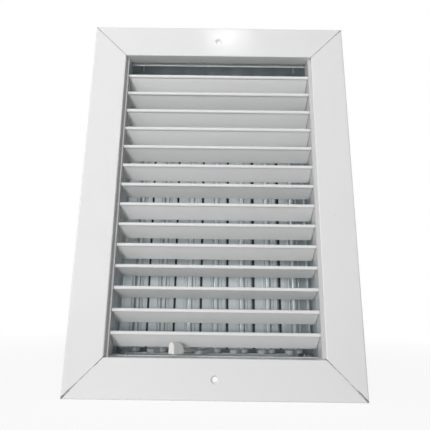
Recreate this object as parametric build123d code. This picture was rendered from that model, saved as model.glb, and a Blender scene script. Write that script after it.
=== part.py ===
from build123d import *
import os
from math import cos, radians, sin, sqrt

# Sidewall supply register: a mitred frame, fourteen hand-set louvres and a shutter damper.
# Millimetres. X runs along the louvres, Y goes into the wall and Z is up.
# The origin is midway between the two screw holes, on the back of the flange's face wall.
# A depth is counted from the front face, so depth 0 is the face itself.

# Frame extrusion
face_width = 248.0
face_height = 348.0
flange_width = 32.35
face_wall = 1.8
lip_wall = 1.6
lip_depth = 5.5
leg_wall = 1.4
louvre_leg_depth = 12.0
key_slot = 4.55
neck_depth = 32.0
outer_edge_radius = 1.5
inner_edge_radius = 1.1
mitre_gap = 0.3

# Screw holes in the flange
screw_hole = 4.2
countersink = 7.0

# Corner keys
key_arm = 18.0
key_height = 7.0
key_clearance = 0.05

# Louvres, counted from the top, with the fall of each tail below level in degrees
louvre_falls = [36, 27, 32, 34, 28, 33, 24, 37, 33, 35, 23, 25, 35, 41]
louvre_depth = 7.6
louvre_chord = 18.3
bead = 3.3
bead_bore = 1.7
fin_root = 1.4
fin_tail = 1.1
fin_corner = 1.5

# Rails along the sides of the opening, which carry the louvres
rail_height = 2.4
rail_ahead = 2.8
rail_width = 12.8
rail_wall = 1.0
rail_end_clearance = 0.05

# Louvre bushes
bush_hole = 2.3
bush_collar = 3.0
bush_collar_length = 0.35
bush_spigot = 1.6
bush_spigot_length = 6.0
bush_snap = 2.9
bush_snap_length = 1.1
bush_clearance = 0.05
louvre_end_gap = 0.15

# Damper frame
sheet = 1.0
damper_depth = 17.0
damper_back_clearance = 0.8
damper_back_reach = 4.0
damper_clearance = 0.3
tab_length = 13.0
tab_width = 12.0
tab_behind_axis = 5.0
rivet = 3.2
rivet_head = 6.0
rivet_head_height = 1.2
rivet_tail = 4.6
rivet_tail_height = 1.0
rivet_clearance = 0.05

# Screws that hold the damper in the neck
damper_screw = 2.9
damper_screw_hole = 3.0
damper_screw_head = 5.6
damper_screw_head_height = 1.9
damper_screw_point = 2.6
damper_screw_reach = 1.8
damper_screw_inset = 12.65
damper_screw_depth = 25.0

# Shutters
shutter_pitch = 25.4
shutter_width = 30.4
shutter_axis_depth = 48.0
shutter_wall = 1.0
shutter_edge_bead = 2.0
shutter_hub = 6.0
shutter_bore = 3.1
shutter_rib = 1.6
shutter_rib_x = 4.8
shutter_turn = 7.0
shutter_top_clearance = 0.45
hub_end_gap = 0.3

# Shutter bushes
pivot_head = 7.0
pivot_head_length = 1.9
pivot_spigot = 3.0
pivot_spigot_length = 8.0
pivot_hole = 4.1
pivot_snap = 5.2
pivot_snap_length = 1.2

# Cranks and link bar, with heights above the floor of the opening
crank_turn = 40.6
crank_throw = 12.0
crank_eye = 13.0
crank_arm = 8.0
crank_thickness = 3.1
crank_floor = 0.05
crank_hub_clearance = 0.05
crank_pin = 3.0
crank_pin_length = 2.5
link_width = 5.0
link_thickness = 1.8
link_gap = 0.2
link_pin_clearance = 0.06
link_end = 4.0

# Lever and knob, with lengths from the axis of the shutter they turn
lever_left_count = 3
lever_start = 11.0
lever_width = 5.0
lever_thickness = 1.5
lever_rivet = 2.4
lever_rivet_head = 4.2
lever_rivet_head_height = 0.9
lever_rivet_places = [16.5, 22.0]
knob_tip_depth = 4.95
knob_length = 11.6
knob_width = 6.6
knob_height = 9.4
knob_heel_height = 2.8
knob_crown = 4.0
knob_wall = 0.7
knob_edge_radius = 0.8
knob_socket = 7.5
knob_clearance = 0.05

# Sizes that follow from the driving ones
open_width = face_width - 2 * flange_width
open_height = face_height - 2 * flange_width
side_wall = open_width / 2
floor_wall = open_height / 2
neck_at = leg_wall + key_slot
hole_spacing = face_height - flange_width
louvre_count = len(louvre_falls)
louvre_pitch = open_height / (louvre_count + 1)
rail_face = side_wall - rail_height
rail_front = louvre_depth - rail_ahead
louvre_half = rail_face - bush_collar_length - louvre_end_gap
damper_out = neck_at - damper_clearance
damper_back = shutter_axis_depth + shutter_width / 2 + damper_back_clearance + sheet
web_inside = damper_out - sheet
damper_screw_x = side_wall - damper_screw_inset
shutter_count = int(open_width / shutter_pitch)
lever_index = lever_left_count
hub_end = floor_wall + web_inside - pivot_head_length - hub_end_gap
crank_bottom = -floor_wall + crank_floor
crank_top = crank_bottom + crank_thickness
lever_bottom = crank_top
knob_end = (shutter_axis_depth - knob_tip_depth) / cos(radians(crank_turn))
knob_start = knob_end - knob_length
knob_bottom = lever_bottom - knob_clearance - knob_wall


def at_depth(depth):
    return depth - face_wall


def louvre_z(index):
    return floor_wall - louvre_pitch * (index + 1)


def shutter_x(index):
    return shutter_pitch * (index - (shutter_count - 1) / 2)


shutter_y = at_depth(shutter_axis_depth)


def block(x_ends, y_ends, z_ends):
    ends = [sorted(pair) for pair in (x_ends, y_ends, z_ends)]
    middle = [(low + high) / 2 for low, high in ends]
    size = [high - low for low, high in ends]
    return Pos(*middle) * Box(*size)


def rod_x(diameter, x_ends, y, z):
    return Pos(sum(x_ends) / 2, y, z) * Rot(0, 90, 0) * Cylinder(diameter / 2, abs(x_ends[1] - x_ends[0]))


def rod_z(diameter, x, y, z_ends):
    return Pos(x, y, sum(z_ends) / 2) * Cylinder(diameter / 2, abs(z_ends[1] - z_ends[0]))


def strip(out_ends, depth_ends):
    middle = Pos(sum(out_ends) / 2, sum(depth_ends) / 2)
    return middle * Rectangle(out_ends[1] - out_ends[0], depth_ends[1] - depth_ends[0])


def side_plane(out_x, out_z):
    # section x runs out from the opening's edge, section y runs back from the face
    origin = (out_x * side_wall, -face_wall, out_z * floor_wall)
    return Plane(origin=origin, x_dir=(out_x, 0, out_z), z_dir=(-out_z, 0, out_x))


def frame_section():
    section = strip((0, flange_width), (0, face_wall))
    section += strip((0, leg_wall), (0, louvre_leg_depth))
    section += strip((neck_at, neck_at + leg_wall), (0, neck_depth))
    section += strip((flange_width - lip_wall, flange_width), (0, lip_depth))
    inner_corner = section.vertices().group_by(Axis.Y)[0].sort_by(Axis.X)[0]
    section = fillet(inner_corner, inner_edge_radius)
    outer_corner = section.vertices().group_by(Axis.Y)[0].sort_by(Axis.X)[-1]
    return fillet(outer_corner, outer_edge_radius)


def mitre_mask(out_x, out_z):
    # the stretch of the square frame that one mitred member may fill
    along = face_width / 2 if out_z else face_height / 2
    out = face_height / 2 if out_z else face_width / 2
    set_back = mitre_gap / sqrt(2)
    reach = flange_width + 1
    wide = along - set_back
    narrow = wide - reach
    points = [(-wide, out), (wide, out), (narrow, out - reach), (-narrow, out - reach)]
    if out_z:
        points = [(a, out_z * b) for a, b in points]
    else:
        points = [(out_x * b, a) for a, b in points]
    return extrude(Plane.XZ * Polygon(*points, align=None), amount=neck_depth + 1, both=True)


def frame_member(out_x, out_z):
    along = face_width / 2 if out_z else face_height / 2
    member = extrude(side_plane(out_x, out_z) * frame_section(), amount=along, both=True)
    member &= mitre_mask(out_x, out_z)
    if out_z:
        member -= screw_cut(out_z * hole_spacing / 2)
        neck_span = (out_z * (floor_wall + neck_at - 1), out_z * (floor_wall + neck_at + leg_wall + 1))
        for x in (-damper_screw_x, damper_screw_x):
            member -= rod_z(damper_screw_hole, x, at_depth(damper_screw_depth), neck_span)
    return member


def screw_cut(z):
    sink_depth = (countersink - screw_hole) / 2
    hole = Rot(-90, 0, 0) * Cylinder(screw_hole / 2, 4 * face_wall)
    sink = Cone(countersink / 2, screw_hole / 2, sink_depth)
    return Pos(0, 0, z) * hole + Pos(0, -face_wall + sink_depth / 2, z) * Rot(-90, 0, 0) * sink


def corner_key(out_x, out_z):
    near = leg_wall + key_clearance
    far = neck_at - key_clearance
    depth_span = (key_clearance, key_height)
    x_near, x_far = side_wall + near, side_wall + far
    z_near, z_far = floor_wall + near, floor_wall + far
    level_arm = block((x_far - key_arm, x_far), depth_span, (z_near, z_far))
    upright_arm = block((x_near, x_far), depth_span, (z_far - key_arm, z_far))
    key = level_arm + upright_arm
    if out_x < 0:
        key = mirror(key, about=Plane.YZ)
    if out_z < 0:
        key = mirror(key, about=Plane.XY)
    return key


def louvre_rail(out_x):
    # a shallow channel, closed towards the louvres and standing on the frame's louvre leg
    back = rail_front + rail_width
    section = strip((-rail_height, rail_wall - rail_height), (rail_front, back))
    section += strip((-rail_height, 0), (rail_front, rail_front + rail_wall))
    section += strip((-rail_height, 0), (back - rail_wall, back))
    rail = extrude(side_plane(out_x, 0) * section, amount=floor_wall - rail_end_clearance, both=True)
    web_span = (out_x * (rail_face - rail_wall), out_x * (rail_face + 2 * rail_wall))
    for index in range(louvre_count):
        rail -= rod_x(bush_hole, web_span, at_depth(louvre_depth), louvre_z(index))
    return rail


def louvre_bush(out_x, z):
    y = at_depth(louvre_depth)

    def stretch(diameter, start, end):
        return rod_x(diameter, (out_x * (rail_face + start), out_x * (rail_face + end)), y, z)

    bush = stretch(bush_collar, -bush_collar_length, 0)
    bush += stretch(bush_spigot, -bush_collar_length - bush_spigot_length, -bush_collar_length)
    bush += stretch(bush_hole - 2 * bush_clearance, 0, rail_wall)
    bush += stretch(bush_snap, rail_wall, rail_wall + bush_snap_length)
    return bush


def louvre(index):
    tail_centre = louvre_chord - fin_tail / 2
    section = Circle(bead / 2)
    section += Polygon(
        (0, fin_root / 2),
        (0, -fin_root / 2),
        (tail_centre, -fin_tail / 2),
        (tail_centre, fin_tail / 2),
        align=None,
    )
    section += Pos(tail_centre, 0) * Circle(fin_tail / 2)
    section -= Circle(bead_bore / 2)
    blade = extrude(Plane.YZ * section, amount=louvre_half, both=True)
    # the tail's two corners are cut off
    corner = louvre_chord - fin_corner
    plan = Polygon(
        (-louvre_half, -bead),
        (louvre_half, -bead),
        (louvre_half, corner),
        (louvre_half - fin_corner, louvre_chord),
        (fin_corner - louvre_half, louvre_chord),
        (-louvre_half, corner),
        align=None,
    )
    blade &= extrude(plan, amount=bead, both=True)
    return Pos(0, at_depth(louvre_depth), louvre_z(index)) * Rot(-louvre_falls[index], 0, 0) * blade


def channel_section():
    section = strip((web_inside, damper_out), (damper_depth, damper_back))
    section += strip((0, damper_out), (damper_depth, damper_depth + sheet))
    section += strip((-damper_back_reach, damper_out), (damper_back - sheet, damper_back))
    return section


def level_channel(out_z):
    channel = extrude(side_plane(0, out_z) * channel_section(), amount=side_wall + damper_out, both=True)
    web_span = (out_z * (floor_wall + web_inside - 1), out_z * (floor_wall + damper_out + 1))
    for x in (-damper_screw_x, damper_screw_x):
        channel -= rod_z(damper_screw_hole, x, at_depth(damper_screw_depth), web_span)
    for index in range(shutter_count):
        channel -= rod_z(pivot_hole, shutter_x(index), shutter_y, web_span)
    for out_x in (-1, 1):
        channel -= rod_z(rivet + 2 * rivet_clearance, out_x * rivet_x(), rivet_y(), web_span)
    return channel


def rivet_x():
    return side_wall + web_inside - tab_length / 2


def rivet_y():
    return shutter_y + tab_behind_axis


def upright_channel(out_x):
    half = floor_wall + web_inside
    channel = extrude(side_plane(out_x, 0) * channel_section(), amount=half, both=True)
    x_span = (out_x * (side_wall - damper_back_reach - 1), out_x * (side_wall + damper_out + 1))
    for out_z in (-1, 1):
        # the legs stop where the level channels' legs begin, and a tab turns in under the web
        for front, reach in ((damper_depth, 0), (damper_back - sheet, damper_back_reach)):
            y_span = (at_depth(front), at_depth(front + sheet))
            channel -= block(x_span, y_span, (out_z * (floor_wall - reach), out_z * (half + 1)))
        tab = block(
            (out_x * (side_wall + web_inside - tab_length), out_x * (side_wall + damper_out)),
            (rivet_y() - tab_width / 2, rivet_y() + tab_width / 2),
            (out_z * (half - sheet), out_z * half),
        )
        channel += tab
        hole_span = (out_z * (half - sheet - 1), out_z * (half + 1))
        channel -= rod_z(rivet + 2 * rivet_clearance, out_x * rivet_x(), rivet_y(), hole_span)
    return channel


def damper_rivet(out_x, out_z):
    x, y = out_x * rivet_x(), rivet_y()
    web_face = floor_wall + damper_out
    tab_face = web_face - 2 * sheet
    body = rod_z(rivet, x, y, (out_z * tab_face, out_z * web_face))
    body += rod_z(rivet_tail, x, y, (out_z * (tab_face - rivet_tail_height), out_z * tab_face))
    dome = Cone(rivet_head / 2, rivet / 2, rivet_head_height)
    if out_z < 0:
        dome = Rot(180, 0, 0) * dome
    return body + Pos(x, y, out_z * (web_face + rivet_head_height / 2)) * dome


def damper_screw_solid(x, out_z):
    y = at_depth(damper_screw_depth)
    seat = floor_wall + neck_at + leg_wall
    tip = floor_wall - damper_screw_reach
    shank = rod_z(damper_screw, x, y, (seat, tip + damper_screw_point))
    point = Pos(x, y, tip + damper_screw_point / 2) * Cone(damper_screw / 8, damper_screw / 2, damper_screw_point)
    head = rod_z(damper_screw_head, x, y, (seat, seat + damper_screw_head_height))
    head = fillet(head.edges().group_by(Axis.Z)[-1], damper_screw_head_height * 0.6)
    screw = shank + point + head
    return screw if out_z > 0 else mirror(screw, about=Plane.XY)


def shutter_bush(index, out_z):
    web = floor_wall + web_inside

    def stretch(diameter, start, end):
        return rod_z(diameter, shutter_x(index), shutter_y, (out_z * (web + start), out_z * (web + end)))

    bush = stretch(pivot_head, -pivot_head_length, 0)
    bush += stretch(pivot_spigot, -pivot_head_length - pivot_spigot_length, -pivot_head_length)
    bush += stretch(pivot_hole - 2 * bush_clearance, 0, sheet)
    bush += stretch(pivot_snap, sheet, sheet + pivot_snap_length)
    return bush


def shutter(index):
    wing = shutter_width - shutter_edge_bead
    section = Rectangle(wing, shutter_wall) + Circle(shutter_hub / 2)
    for way in (-1, 1):
        section += Pos(way * wing / 2, 0) * Circle(shutter_edge_bead / 2)
        section += Pos(way * shutter_rib_x, -shutter_wall / 2) * Circle(shutter_rib / 2)
    wing_top = floor_wall - shutter_top_clearance
    blade = Pos(0, 0, crank_top) * extrude(section, amount=wing_top - crank_top)
    blade += rod_z(shutter_hub, 0, 0, (-hub_end, hub_end))
    blade -= rod_z(shutter_bore, 0, 0, (-hub_end - 1, hub_end + 1))
    return Pos(shutter_x(index), shutter_y, 0) * Rot(0, 0, shutter_turn) * blade


def on_crank(index, shape):
    # shapes drawn with the arm along -Y are turned to the arm's place at rest
    return Pos(shutter_x(index), shutter_y, 0) * Rot(0, 0, -crank_turn) * shape


def is_lever_shutter(index):
    return index == lever_index


def crank(index):
    end = lever_rivet_places[-1] if is_lever_shutter(index) else crank_throw
    plan = Circle(crank_eye / 2) + Pos(0, -end / 2) * Rectangle(crank_arm, end)
    plan += Pos(0, -end) * Circle(crank_arm / 2)
    plan -= Circle(shutter_hub / 2 + crank_hub_clearance)
    solid = Pos(0, 0, crank_bottom) * extrude(plan, amount=crank_thickness)
    solid += rod_z(crank_pin, 0, -crank_throw, (crank_bottom - crank_pin_length, crank_bottom))
    if is_lever_shutter(index):
        for place in lever_rivet_places:
            solid -= rod_z(lever_rivet + 2 * rivet_clearance, 0, -place, (crank_bottom - 1, crank_top + 1))
    return on_crank(index, solid)


def link_bar():
    start_x = shutter_x(0) - crank_throw * sin(radians(crank_turn))
    y = shutter_y - crank_throw * cos(radians(crank_turn))
    length = shutter_x(shutter_count - 1) - shutter_x(0)
    plan = SlotOverall(length + 2 * link_end, link_width)
    for index in range(shutter_count):
        plan -= Pos(shutter_x(index), 0) * Circle(crank_pin / 2 + link_pin_clearance)
    top = crank_bottom - link_gap
    return Pos(start_x + length / 2, y, top - link_thickness) * extrude(plan, amount=link_thickness)


def lever():
    end = knob_start + knob_socket
    strip_length = end - lever_start
    plan = Pos(0, -lever_start - strip_length / 2) * Rectangle(lever_width, strip_length)
    plan = fillet(plan.vertices(), lever_width / 3)
    for place in lever_rivet_places:
        plan -= Pos(0, -place) * Circle(lever_rivet / 2 + rivet_clearance)
    solid = Pos(0, 0, lever_bottom) * extrude(plan, amount=lever_thickness)
    return on_crank(lever_index, solid)


def lever_rivet_solid(place):
    lever_top = lever_bottom + lever_thickness
    body = rod_z(lever_rivet, 0, -place, (crank_bottom, lever_top))
    head = rod_z(lever_rivet_head, 0, -place, (lever_top, lever_top + lever_rivet_head_height))
    head = chamfer(head.edges().group_by(Axis.Z)[-1], lever_rivet_head_height / 2)
    return on_crank(lever_index, body + head)


def knob():
    heel = knob_bottom + knob_heel_height
    top = knob_bottom + knob_height
    crown = knob_end - knob_crown
    outline = Polyline(
        (-knob_start, heel),
        (-knob_start, knob_bottom),
        (-knob_end, knob_bottom),
        (-knob_end, top),
        (-crown, top),
    )
    slope = TangentArc((-crown, top), (-knob_start, heel), tangent=(1, 0))
    side = make_face(outline + slope)
    solid = extrude(Plane.YZ * side, amount=knob_width / 2, both=True)
    arch_centre = top - knob_width / 2
    arch = Pos(0, (knob_bottom + arch_centre) / 2) * Rectangle(knob_width, arch_centre - knob_bottom)
    arch += Pos(0, arch_centre) * Circle(knob_width / 2)
    solid &= extrude(Plane.XZ * arch, amount=knob_end + 1)
    solid = fillet(solid.edges().group_by(Axis.Y)[0], knob_edge_radius)
    socket_end = knob_start + knob_socket + knob_clearance
    half_socket = lever_width / 2 + knob_clearance
    solid -= block(
        (-half_socket, half_socket),
        (-socket_end, -knob_start + 1),
        (lever_bottom - knob_clearance, lever_bottom + lever_thickness + knob_clearance),
    )
    return on_crank(lever_index, solid)


def group(solids):
    return Compound(children=[solid for solid in solids])


corners = [(out_x, out_z) for out_x in (-1, 1) for out_z in (-1, 1)]
shutters = range(shutter_count)
parts = {
    "frame_top": frame_member(0, 1),
    "frame_bottom": frame_member(0, -1),
    "frame_left": frame_member(-1, 0),
    "frame_right": frame_member(1, 0),
    "corner_keys": group(corner_key(*corner) for corner in corners),
    "louvre_rail_left": louvre_rail(-1),
    "louvre_rail_right": louvre_rail(1),
    "louvre_bushes_left": group(louvre_bush(-1, louvre_z(index)) for index in range(louvre_count)),
    "louvre_bushes_right": group(louvre_bush(1, louvre_z(index)) for index in range(louvre_count)),
    "damper_top": level_channel(1),
    "damper_bottom": level_channel(-1),
    "damper_left": upright_channel(-1),
    "damper_right": upright_channel(1),
    "damper_rivets": group(damper_rivet(*corner) for corner in corners),
    "damper_screws": group(damper_screw_solid(out_x * damper_screw_x, out_z) for out_x, out_z in corners),
    "shutter_bushes_top": group(shutter_bush(index, 1) for index in shutters),
    "shutter_bushes_bottom": group(shutter_bush(index, -1) for index in shutters),
    "link_bar": link_bar(),
    "lever": lever(),
    "lever_rivets": group(lever_rivet_solid(place) for place in lever_rivet_places),
    "knob": knob(),
}
for index in range(louvre_count):
    parts[f"louvre_{index + 1:02d}"] = louvre(index)
for index in shutters:
    parts[f"shutter_{index + 1}"] = shutter(index)
    parts[f"crank_{index + 1}"] = crank(index)

os.makedirs("parts", exist_ok=True)
for name, shape in parts.items():
    export_step(shape, f"parts/{name}.step")
print(f"{len(parts)} nodes, opening {open_width:.2f} x {open_height:.2f}, holes {hole_spacing:.2f} apart")
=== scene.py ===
import math

import bpy
from mathutils import Matrix, Vector


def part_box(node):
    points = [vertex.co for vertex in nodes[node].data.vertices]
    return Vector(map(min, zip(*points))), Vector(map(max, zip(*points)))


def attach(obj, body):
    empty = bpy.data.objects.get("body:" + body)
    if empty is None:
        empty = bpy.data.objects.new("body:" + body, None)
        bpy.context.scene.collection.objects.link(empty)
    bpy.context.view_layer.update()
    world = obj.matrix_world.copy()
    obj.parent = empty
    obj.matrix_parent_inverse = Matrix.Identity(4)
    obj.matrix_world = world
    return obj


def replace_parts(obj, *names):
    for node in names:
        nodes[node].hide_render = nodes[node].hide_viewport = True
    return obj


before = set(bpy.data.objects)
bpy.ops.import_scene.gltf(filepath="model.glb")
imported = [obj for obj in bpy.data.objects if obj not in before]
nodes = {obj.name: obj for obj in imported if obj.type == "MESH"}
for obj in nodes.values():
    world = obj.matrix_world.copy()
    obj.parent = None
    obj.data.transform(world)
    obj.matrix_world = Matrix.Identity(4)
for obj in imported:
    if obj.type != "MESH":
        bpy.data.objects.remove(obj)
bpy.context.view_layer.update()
print("frame loaded,", len(nodes), "pieces")

mm = 0.001
noiseSpread = (0.3, 0.7)   # most of a noise lies between these

# sizes that the finishes and the stage take from the frame
faceLow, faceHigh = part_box("frame_left")[0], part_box("frame_right")[1]
halfWidth = faceHigh.x
halfHeight = faceHigh.z
floorHeight = faceLow.z


def addNode(tree, kind, inputs=None, **settings):
    made = tree.nodes.new(kind)
    for key, value in settings.items():
        setattr(made, key, value)
    for key, value in (inputs or {}).items():
        if isinstance(value, bpy.types.NodeSocket):
            tree.links.new(value, made.inputs[key])
        else:
            made.inputs[key].default_value = value
    return made


def maths(tree, operation, first, second=0.0):
    return addNode(tree, "ShaderNodeMath", {0: first, 1: second}, operation=operation).outputs[0]


def ramp(tree, value, low, high, toLow=0.0, toHigh=1.0):
    spread = {"Value": value, "From Min": low, "From Max": high, "To Min": toLow, "To Max": toHigh}
    return addNode(tree, "ShaderNodeMapRange", spread, interpolation_type="SMOOTHSTEP").outputs[0]


def mixColour(tree, factor, first, second):
    made = addNode(tree, "ShaderNodeMix", data_type="RGBA")
    for socket, value in ((0, factor), (6, first), (7, second)):
        if isinstance(value, bpy.types.NodeSocket):
            tree.links.new(value, made.inputs[socket])
        else:
            made.inputs[socket].default_value = value
    return made.outputs[2]


def noise(tree, place, scale, detail=3.0):
    settings = {"Vector": place, "Scale": scale, "Detail": detail}
    return addNode(tree, "ShaderNodeTexNoise", settings).outputs["Fac"]


def drawnOut(tree, place, along, run, across):
    # a place for noise that is stretched along one axis
    scale = [run if axis == along else across for axis in "xyz"]
    return addNode(tree, "ShaderNodeMapping", {"Vector": place, "Scale": scale}).outputs[0]


def bump(tree, height, strength, distance):
    settings = {"Height": height, "Strength": strength, "Distance": distance}
    return addNode(tree, "ShaderNodeBump", settings).outputs[0]


def newFinish(name):
    made = bpy.data.materials.new(name)
    made.use_nodes = True
    tree = made.node_tree
    place = addNode(tree, "ShaderNodeTexCoord").outputs["Object"]
    return made, tree, tree.nodes["Principled BSDF"], place


def grey(level):
    return (level, level, level, 1.0)


# white powder coat

paint = {
    "light": grey(0.815), "shade": grey(0.785), "cloudScale": 9.0,
    "gloss": (0.13, 0.22), "glossScale": 40.0,
    "peelSize": 1.6 * mm, "peelDepth": 0.02, "peelHeight": 0.1 * mm,
    "speckCell": 13 * mm, "speckSize": 0.4 * mm, "speckShare": 0.18, "speckStrength": 0.55,
    "grime": (0.09, 0.08, 0.07, 1.0), "grimeStrength": 0.8,
    "grimeReach": (0.62 * mm, 1.5 * mm), "grimeRun": 16 * mm,   # wider within the run of an outer corner
    "grimePatches": 300.0, "grimeThin": 0.55,
    "grimeAbove": 0.6, "grimeFall": (0.0, -100 * mm),   # less of it on the upper half
    # painted shade: the rails take the frame's white paint made darker, standing in for the shade inside the
    # neck
    "railShadeTone": 0.70,
}


def makePaint(name, grimy, shadeTone=1.0):
    made, tree, shader, place = newFinish(name)
    # a shade tone below 1 gives a darker copy of the paint, as painted shade
    shade, light = [tuple(shadeTone * level for level in paint[key][:3]) + (1.0,) for key in ("shade", "light")]
    colour = mixColour(tree, noise(tree, place, paint["cloudScale"]), shade, light)
    cells = addNode(tree, "ShaderNodeTexVoronoi", {"Vector": place, "Scale": 1 / paint["speckCell"]})
    share = addNode(tree, "ShaderNodeSeparateColor", {"Color": cells.outputs["Color"]}).outputs[0]
    size = paint["speckSize"] / paint["speckCell"]
    speck = ramp(tree, cells.outputs["Distance"], size, 0.5 * size)
    speck = maths(tree, "MULTIPLY", speck, maths(tree, "LESS_THAN", share, paint["speckShare"]))
    colour = mixColour(tree, maths(tree, "MULTIPLY", speck, paint["speckStrength"]), colour, paint["grime"])
    if grimy:
        # dirt gathers along the mitred joints, more of it towards the outer corners
        x, _, z = addNode(tree, "ShaderNodeSeparateXYZ", {"Vector": place}).outputs
        acrossX = maths(tree, "SUBTRACT", halfWidth, maths(tree, "ABSOLUTE", x))
        acrossZ = maths(tree, "SUBTRACT", halfHeight, maths(tree, "ABSOLUTE", z))
        away = maths(tree, "ABSOLUTE", maths(tree, "SUBTRACT", acrossX, acrossZ))
        lower = ramp(tree, z, *paint["grimeFall"], paint["grimeAbove"], 1.0)
        patches = noise(tree, place, paint["grimePatches"], 4.0)
        patchy = ramp(tree, patches, *noiseSpread, paint["grimeThin"], 1.0)
        outer = maths(tree, "MULTIPLY", ramp(tree, acrossX, paint["grimeRun"], 0.0), lower)
        reach = ramp(tree, outer, 0.0, 1.0, *paint["grimeReach"])
        reach = maths(tree, "MULTIPLY", maths(tree, "MULTIPLY", patchy, lower), reach)
        dirt = maths(tree, "MULTIPLY", maths(tree, "LESS_THAN", away, reach), paint["grimeStrength"])
        colour = mixColour(tree, dirt, colour, paint["grime"])
    tree.links.new(colour, shader.inputs["Base Color"])
    gloss = ramp(tree, noise(tree, place, paint["glossScale"]), *noiseSpread, *paint["gloss"])
    tree.links.new(gloss, shader.inputs["Roughness"])
    peel = noise(tree, place, 1 / paint["peelSize"], 2.0)
    tree.links.new(bump(tree, peel, paint["peelDepth"], paint["peelHeight"]), shader.inputs["Normal"])
    return made


# drawn aluminium of the damper

drawnMetal = {
    "light": (0.58, 0.63, 0.65, 1.0), "shade": (0.50, 0.545, 0.56, 1.0),
    "cloudRun": 4.0, "cloudAcross": 70.0,
    "gloss": (0.285, 0.30), "metallic": 0.7, "sideMetallic": 0.3,
    "lineSize": 0.5 * mm, "lineRun": 160 * mm, "lineDepth": 0.02, "lineHeight": 0.05 * mm,
    # painted shade in the laps between shutters
    "lapShade": (0.02, 0.03, 0.035, 1.0), "lapReach": 2.6 * mm, "lapSolid": 0.6, "lapStrength": 0.97,
    "openEdge": 5 * mm, "specular": 0.5,
    # painted light on the channels' front legs and painted shade deep inside them
    "frontLegPaintedLight": (0.92, 0.93, 0.93, 1.0), "frontReach": 1.4 * mm,
    "deepShade": (0.26, 0.28, 0.29, 1.0), "deepReach": (14 * mm, 33.6 * mm), "deepStrength": 0.85,
    "outerSkin": 0.5 * mm, "rearSkin": 0.3 * mm,   # the outside of a channel gets none of the painted shade
}


def lapPaintedShade(tree, shader, place, colour, lapX):
    # painted shade in the lap along one edge of a shutter: a dark colour with no metal sheen or specular
    # there
    x = addNode(tree, "ShaderNodeSeparateXYZ", {"Vector": place}).outputs[0]
    reach = drawnMetal["lapReach"]
    lap = ramp(tree, x, lapX + reach, lapX + drawnMetal["lapSolid"] * reach)
    outsideLapShade = maths(tree, "SUBTRACT", 1.0, lap)
    for socket, key in (("Metallic", "metallic"), ("Specular IOR Level", "specular")):
        tree.links.new(maths(tree, "MULTIPLY", outsideLapShade, drawnMetal[key]), shader.inputs[socket])
    lapShadeMask = maths(tree, "MULTIPLY", lap, drawnMetal["lapStrength"])
    return mixColour(tree, lapShadeMask, colour, drawnMetal["lapShade"])


def channelLightAndShade(tree, shader, place, colour, channel):
    # painted light and painted shade: the front leg is painted a light matt colour, and the deep inside of
    # the channel is painted darker
    _, y, z = addNode(tree, "ShaderNodeSeparateXYZ", {"Vector": place}).outputs
    low, high = channel
    near, full = drawnMetal["deepReach"]
    outer = max(abs(low.z), abs(high.z)) - drawnMetal["outerSkin"]
    front = maths(tree, "LESS_THAN", y, low.y + drawnMetal["frontReach"])
    deep = ramp(tree, y, low.y + near, low.y + full, 0.0, drawnMetal["deepStrength"])
    deep = maths(tree, "MULTIPLY", deep, maths(tree, "LESS_THAN", maths(tree, "ABSOLUTE", z), outer))
    deep = maths(tree, "MULTIPLY", deep, maths(tree, "LESS_THAN", y, high.y - drawnMetal["rearSkin"]))
    shine = maths(tree, "MULTIPLY", maths(tree, "SUBTRACT", 1.0, front), drawnMetal["metallic"])
    tree.links.new(shine, shader.inputs["Metallic"])
    colour = mixColour(tree, deep, colour, drawnMetal["deepShade"])
    return mixColour(tree, front, colour, drawnMetal["frontLegPaintedLight"])


def makeDrawnMetal(name, along, lapX=None, channel=None):
    made, tree, shader, place = newFinish(name)
    run, across = 1 / drawnMetal["lineRun"], 1 / drawnMetal["lineSize"]
    lines = noise(tree, drawnOut(tree, place, along, run, across), 1.0, 2.0)
    cloud = noise(tree, drawnOut(tree, place, along, drawnMetal["cloudRun"], drawnMetal["cloudAcross"]), 1.0)
    colour = mixColour(tree, ramp(tree, cloud, *noiseSpread), drawnMetal["shade"], drawnMetal["light"])
    if lapX is not None:
        # painted shade along the lapped edge
        colour = lapPaintedShade(tree, shader, place, colour, lapX)
    elif channel is not None:
        # painted light on the front leg and painted shade deep inside
        colour = channelLightAndShade(tree, shader, place, colour, channel)
    else:
        shader.inputs["Metallic"].default_value = drawnMetal["sideMetallic" if along == "z" else "metallic"]
    tree.links.new(colour, shader.inputs["Base Color"])
    tree.links.new(ramp(tree, lines, *noiseSpread, *drawnMetal["gloss"]), shader.inputs["Roughness"])
    ridges = bump(tree, lines, drawnMetal["lineDepth"], drawnMetal["lineHeight"])
    tree.links.new(ridges, shader.inputs["Normal"])
    return made


# moulded plastics and zinc plate

moulded = {
    "bushNylon": {"light": (0.76, 0.76, 0.73, 1.0), "shade": (0.70, 0.70, 0.67, 1.0), "gloss": (0.42, 0.52)},
    "crankNylon": {"light": (0.40, 0.42, 0.43, 1.0), "shade": (0.33, 0.35, 0.36, 1.0), "gloss": (0.40, 0.50)},
    "knobPlastic": {"light": (0.78, 0.78, 0.77, 1.0), "shade": (0.73, 0.73, 0.72, 1.0),
                    "gloss": (0.25, 0.34)},
}
plated = {
    "zincPlate": {"light": (0.66, 0.67, 0.68, 1.0), "shade": (0.52, 0.52, 0.50, 1.0), "gloss": (0.28, 0.42)},
    "sawnAluminium": {"light": (0.68, 0.69, 0.70, 1.0), "shade": (0.56, 0.57, 0.58, 1.0),
                      "gloss": (0.38, 0.55)},
}
smallGrain = {
    "cloudScale": 180.0, "cloudSpread": (0.35, 0.65), "glossScale": 700.0,
    "fineScale": 2500.0, "fineDepth": 0.08, "fineHeight": 0.05 * mm,
}


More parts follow.
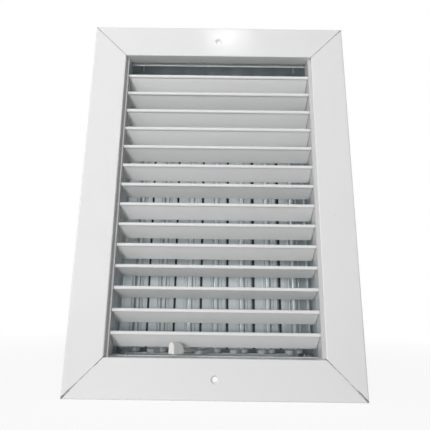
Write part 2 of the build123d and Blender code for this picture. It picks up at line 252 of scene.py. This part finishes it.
def makeSmallFinish(name, look, metallic):
    made, tree, shader, place = newFinish(name)
    cloud = ramp(tree, noise(tree, place, smallGrain["cloudScale"], 4.0), *smallGrain["cloudSpread"])
    tree.links.new(mixColour(tree, cloud, look["shade"], look["light"]), shader.inputs["Base Color"])
    gloss = ramp(tree, noise(tree, place, smallGrain["glossScale"]), *noiseSpread, *look["gloss"])
    tree.links.new(gloss, shader.inputs["Roughness"])
    fine = noise(tree, place, smallGrain["fineScale"], 2.0)
    fine = bump(tree, fine, smallGrain["fineDepth"], smallGrain["fineHeight"])
    tree.links.new(fine, shader.inputs["Normal"])
    shader.inputs["Metallic"].default_value = metallic
    return made


framePaint = makePaint("framePaint", True)
louvrePaint = makePaint("louvrePaint", False)
# the same white paint, darkened as painted shade for the rails
shadedRailPaint = makePaint("shadedRailPaint", False, paint["railShadeTone"])
uprightMetal = makeDrawnMetal("uprightMetal", "z")
levelMetal = makeDrawnMetal("levelMetal", "x")
smallFinishes = {name: makeSmallFinish(name, look, 0.0) for name, look in moulded.items()}
smallFinishes.update({name: makeSmallFinish(name, look, 1.0) for name, look in plated.items()})


def finishFor(name):
    if name.startswith("frame_"):
        return framePaint
    if name.startswith("louvre_bushes") or name.startswith("shutter_bushes"):
        return smallFinishes["bushNylon"]
    if name.startswith("louvre_rail"):
        return shadedRailPaint
    if name.startswith("louvre_"):
        return louvrePaint
    if name.startswith("shutter_"):
        # the first shutter's edge is open and laps no other, so its painted lap shade would lie off the sheet
        clear = drawnMetal["openEdge"] if name == "shutter_1" else 0.0
        return makeDrawnMetal(name + "Metal", "z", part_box(name)[0].x - clear)
    if name in ("damper_left", "damper_right"):
        return uprightMetal
    if name in ("damper_top", "damper_bottom"):
        # the top and bottom channels carry painted light on the front leg and painted shade inside
        return makeDrawnMetal(name + "Metal", "x", None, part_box(name))
    if name == "link_bar":
        return levelMetal
    if name.startswith("crank_"):
        return smallFinishes["crankNylon"]
    if name == "knob":
        return smallFinishes["knobPlastic"]
    if name == "corner_keys":
        return smallFinishes["sawnAluminium"]
    return smallFinishes["zincPlate"]


for name, piece in nodes.items():
    piece.data.materials.clear()
    piece.data.materials.append(finishFor(name))
print("finishes set on", len(nodes), "pieces")

# turned fasteners, each drawn as rings of points along its own axis

smoothAngle = 40   # degrees between faces that still look round


def ringAt(radiusAt, height, steps):
    ring = []
    for step in range(steps):
        turn = 2 * math.pi * step / steps
        radius = radiusAt(turn)
        ring.append(Vector((radius * math.cos(turn), radius * math.sin(turn), height)))
    return ring


def joinRings(rings):
    steps = len(rings[0])
    points = [point for ring in rings for point in ring]
    faces = []
    for row in range(len(rings) - 1):
        for step in range(steps):
            after = (step + 1) % steps
            low, high = row * steps, (row + 1) * steps
            faces.append((low + step, low + after, high + after, high + step))
    faces.append(tuple(reversed(range(steps))))
    faces.append(tuple(range(len(points) - steps, len(points))))
    return points, faces


def placeCopies(name, rings, places, body):
    points, faces = joinRings(rings)
    allPoints, allFaces = [], []
    for place in places:
        first = len(allPoints)
        allPoints += [place @ point for point in points]
        allFaces += [tuple(first + corner for corner in face) for face in faces]
    mesh = bpy.data.meshes.new(name)
    mesh.from_pydata(allPoints, [], allFaces)
    mesh.materials.append(smallFinishes["zincPlate"])
    mesh.polygons.foreach_set("use_smooth", [True] * len(mesh.polygons))
    mesh.set_sharp_from_angle(angle=math.radians(smoothAngle))
    piece = bpy.data.objects.new(name, mesh)
    bpy.context.collection.objects.link(piece)
    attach(piece, body)
    return piece


def outwards(x, y, z):
    # a fastener's own upward axis is turned out of the frame, up or down
    turn = Matrix.Identity(4) if z > 0 else Matrix.Rotation(math.pi, 4, "X")
    return Matrix.Translation((x, y, z)) @ turn


def cornerPlaces(node, look):
    # four alike, near the damper's corners, each seated on its head
    low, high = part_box(node)
    x, y = high.x - look["head"] / 2, (low.y + high.y) / 2
    seat = high.z - look["headHeight"]
    return seat, [outwards(wayX * x, y, wayZ * seat) for wayX in (-1, 1) for wayZ in (-1, 1)]


# screws that hold the damper, with a cut thread and a cross in the head

screw = {
    "thread": 2.9 * mm, "core": 2.1 * mm, "pitch": 1.1 * mm, "toothSlope": 3.2,
    "point": 2.6 * mm, "tip": 0.08, "reach": 1.8 * mm,
    "head": 5.6 * mm, "headHeight": 1.9 * mm, "headRound": 1.14 * mm,
    "crossLength": 3.0 * mm, "crossWidth": 0.8 * mm, "crossDepth": 1.0 * mm,
    "steps": 48, "rowsPerTurn": 10, "roundRows": 6, "topRows": 11,
}


def screwRings(length):
    def threadRadius(height):
        thin = min(1.0, screw["tip"] + (height + length) / screw["point"])

        def radiusAt(turn):
            along = (height / screw["pitch"] - turn / (2 * math.pi)) % 1.0
            tooth = max(0.0, 1.0 - screw["toothSlope"] * abs(along - 0.5))
            return 0.5 * thin * (screw["core"] + tooth * (screw["thread"] - screw["core"]))
        return radiusAt

    rows = int(length / screw["pitch"] * screw["rowsPerTurn"])
    rings = [ringAt(threadRadius(height), height, screw["steps"])
             for height in (-length + length * row / rows for row in range(rows + 1))]
    edge, top, curve = screw["head"] / 2, screw["headHeight"], screw["headRound"]
    rings.append(ringAt(lambda turn: edge, 0.0, screw["steps"]))
    for step in range(screw["roundRows"] + 1):
        turned = 0.5 * math.pi * step / screw["roundRows"]
        reach = edge - curve + curve * math.cos(turned)
        rings.append(ringAt(lambda turn: reach, top - curve + curve * math.sin(turned), screw["steps"]))
    for step in range(1, screw["topRows"] + 1):
        reach = (edge - curve) * (1.0 - step / (screw["topRows"] + 0.5))
        ring = ringAt(lambda turn: reach, top, screw["steps"])
        for point in ring:
            near, far = sorted((abs(point.x), abs(point.y)))
            if near < screw["crossWidth"] / 2 and far < screw["crossLength"] / 2:
                point.z -= screw["crossDepth"]
        rings.append(ring)
    return rings


def makeScrews():
    seat, places = cornerPlaces("damper_screws", screw)
    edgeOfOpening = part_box("louvre_rail_left")[1].z
    length = seat - edgeOfOpening + screw["reach"]
    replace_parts(placeCopies("threaded_screws", screwRings(length), places, "frame"), "damper_screws")


# blind rivets of the damper frame and the lever's two rivets, as radius and height in millimetres

blindRivet = {
    "profile": [(2.0, -3.0), (2.3, -2.7), (2.3, -2.2), (2.0, -2.0), (1.6, -2.0), (1.6, 0.0), (3.0, 0.0),
                (3.0, 0.22), (2.75, 0.62), (2.3, 0.95), (1.7, 1.15), (1.1, 1.2),
                (0.85, 1.15), (0.8, 0.6), (0.3, 0.55)],
    "head": 6.0 * mm, "headHeight": 1.2 * mm, "steps": 40,
}
leverRivet = {
    "profile": [(1.2, 0.0), (1.2, 4.6), (2.1, 4.6), (2.1, 4.95),
                (1.95, 5.2), (1.6, 5.4), (1.1, 5.48), (0.3, 5.5)],
    "head": 4.2 * mm, "steps": 40,
}


def profileRings(look):
    return [ringAt(lambda turn: radius * mm, height * mm, look["steps"])
            for radius, height in look["profile"]]


def makeRivets():
    _, places = cornerPlaces("damper_rivets", blindRivet)
    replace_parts(placeCopies("blind_rivets", profileRings(blindRivet), places, "frame"), "damper_rivets")
    low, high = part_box("lever_rivets")
    edge = leverRivet["head"] / 2
    centres = [(low.x + edge, low.y + edge, low.z), (high.x - edge, high.y - edge, low.z)]
    places = [Matrix.Translation(centre) for centre in centres]
    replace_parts(placeCopies("domed_rivets", profileRings(leverRivet), places, "shutter_4"), "lever_rivets")


makeScrews()
makeRivets()
print("fasteners made")

# camera

camera = {
    "place": (-1.06 * mm, -330.3 * mm, -99.19 * mm),
    "lens": 31.671, "sensor": 36.0,
    "turn": 0.091, "tilt": 13.44, "roll": 0.751,   # degrees to the left, up and against the clock
}
lensData = bpy.data.cameras.new("camera")
lensData.lens, lensData.sensor_width = camera["lens"], camera["sensor"]
lensData.clip_start, lensData.clip_end = 0.01, 50.0
cameraObject = bpy.data.objects.new("camera", lensData)
turned = Matrix.Rotation(math.radians(camera["turn"]), 4, "Z")
turned = turned @ Matrix.Rotation(math.radians(90 + camera["tilt"]), 4, "X")
turned = turned @ Matrix.Rotation(math.radians(camera["roll"]), 4, "Z")
cameraObject.matrix_world = Matrix.Translation(camera["place"]) @ turned
bpy.context.collection.objects.link(cameraObject)
bpy.context.scene.camera = cameraObject
print("camera placed")

# light

room = {
    "front": (0.40, 0.12), "behind": 0.30, "low": 0.36,   # front from left to right
    "frontReach": (0.35, -0.35), "sideReach": (-0.7, 0.7), "lowReach": (0.1, -0.35),
    "white": 1.0,
}
lamps = {
    "keyLeft": {"place": (-0.62, -1.4, 0.0), "size": (0.35, 0.3), "power": 13.0, "mirrored": False},
    "stripLeft": {"place": (-1.3, -1.0, 0.1), "size": (0.08, 0.9), "power": 3.6, "mirrored": True},
    "stripRight": {"place": (1.3, -1.0, 0.1), "size": (0.08, 0.9), "power": 1.0, "mirrored": True},
    "highlight": {"place": (0.03, -0.75, 0.76), "size": (0.13, 0.06), "power": 0.25, "mirrored": True},
}


def seenRays(tree):
    # the camera and all mirror-like surfaces see the white background
    path = addNode(tree, "ShaderNodeLightPath").outputs
    mirrored = maths(tree, "MAXIMUM", path["Is Glossy Ray"], path["Is Transmission Ray"])
    return maths(tree, "MAXIMUM", path["Is Camera Ray"], mirrored)


def makeRoom():
    world = bpy.data.worlds.new("room")
    world.use_nodes = True
    tree = world.node_tree
    way = addNode(tree, "ShaderNodeTexCoord").outputs["Generated"]
    x, y, z = addNode(tree, "ShaderNodeSeparateXYZ", {"Vector": way}).outputs
    front = ramp(tree, x, *room["sideReach"], *room["front"])
    level = ramp(tree, y, *room["frontReach"], room["behind"], front)
    lowShare = ramp(tree, z, *room["lowReach"])   # low down the room is the same all round
    level = maths(tree, "ADD", maths(tree, "MULTIPLY", level, maths(tree, "SUBTRACT", 1.0, lowShare)),
                  maths(tree, "MULTIPLY", lowShare, room["low"]))
    seen = seenRays(tree)
    level = maths(tree, "ADD", maths(tree, "MULTIPLY", level, maths(tree, "SUBTRACT", 1.0, seen)),
                  maths(tree, "MULTIPLY", seen, room["white"]))
    tree.links.new(level, tree.nodes["Background"].inputs["Strength"])
    tree.nodes["Background"].inputs["Color"].default_value = (1.0, 1.0, 1.0, 1.0)
    bpy.context.scene.world = world


def addLamp(name, look):
    data = bpy.data.lights.new(name, "AREA")
    data.shape = "RECTANGLE"
    data.size, data.size_y = look["size"]
    data.energy = look["power"]
    lamp = bpy.data.objects.new(name, data)
    lamp.location = look["place"]
    lamp.visible_glossy = look["mirrored"]
    lamp.rotation_euler = (-Vector(look["place"])).to_track_quat("-Z", "Y").to_euler()
    bpy.context.collection.objects.link(lamp)


makeRoom()
for name, look in lamps.items():
    addLamp(name, look)

# floor

floor = {
    "half": 6.0, "pale": grey(0.86), "roughness": 0.8, "specular": 0.2,
    "bounce": (0.75, 0.9), "bounceReach": (0.1, 0.6),
    "shadowShare": 0.09, "fade": (0.25, 0.9),
}


def makeFloor():
    made = bpy.data.materials.new("paleFloor")
    made.use_nodes = True
    tree = made.node_tree
    shader = tree.nodes["Principled BSDF"]
    shader.inputs["Roughness"].default_value = floor["roughness"]
    shader.inputs["Specular IOR Level"].default_value = floor["specular"]
    place = addNode(tree, "ShaderNodeTexCoord").outputs["Object"]
    away = addNode(tree, "ShaderNodeVectorMath", {0: place}, operation="LENGTH").outputs["Value"]
    seen = seenRays(tree)
    # less light comes back from the floor near the register
    bounce = ramp(tree, away, *floor["bounceReach"], *floor["bounce"])
    bounce = addNode(tree, "ShaderNodeCombineColor", {0: bounce, 1: bounce, 2: bounce}).outputs[0]
    tree.links.new(mixColour(tree, seen, bounce, floor["pale"]), shader.inputs["Base Color"])
    glow = addNode(tree, "ShaderNodeEmission", {"Color": (1.0, 1.0, 1.0, 1.0), "Strength": 1.0})
    share = ramp(tree, away, *floor["fade"], 1.0 - floor["shadowShare"], 1.0)
    share = maths(tree, "MULTIPLY", seen, share)
    mixed = addNode(tree, "ShaderNodeMixShader", {0: share, 1: shader.outputs[0], 2: glow.outputs[0]})
    tree.links.new(mixed.outputs[0], tree.nodes["Material Output"].inputs["Surface"])
    half = floor["half"]
    corners = [(-half, -half, 0), (half, -half, 0), (half, half, 0), (-half, half, 0)]
    mesh = bpy.data.meshes.new("floor")
    mesh.from_pydata(corners, [], [(0, 1, 2, 3)])
    mesh.materials.append(made)
    plane = bpy.data.objects.new("floor", mesh)
    plane.location.z = floorHeight
    bpy.context.collection.objects.link(plane)


makeFloor()
bpy.context.scene.view_settings.view_transform = "Standard"
print("lamps and floor set")
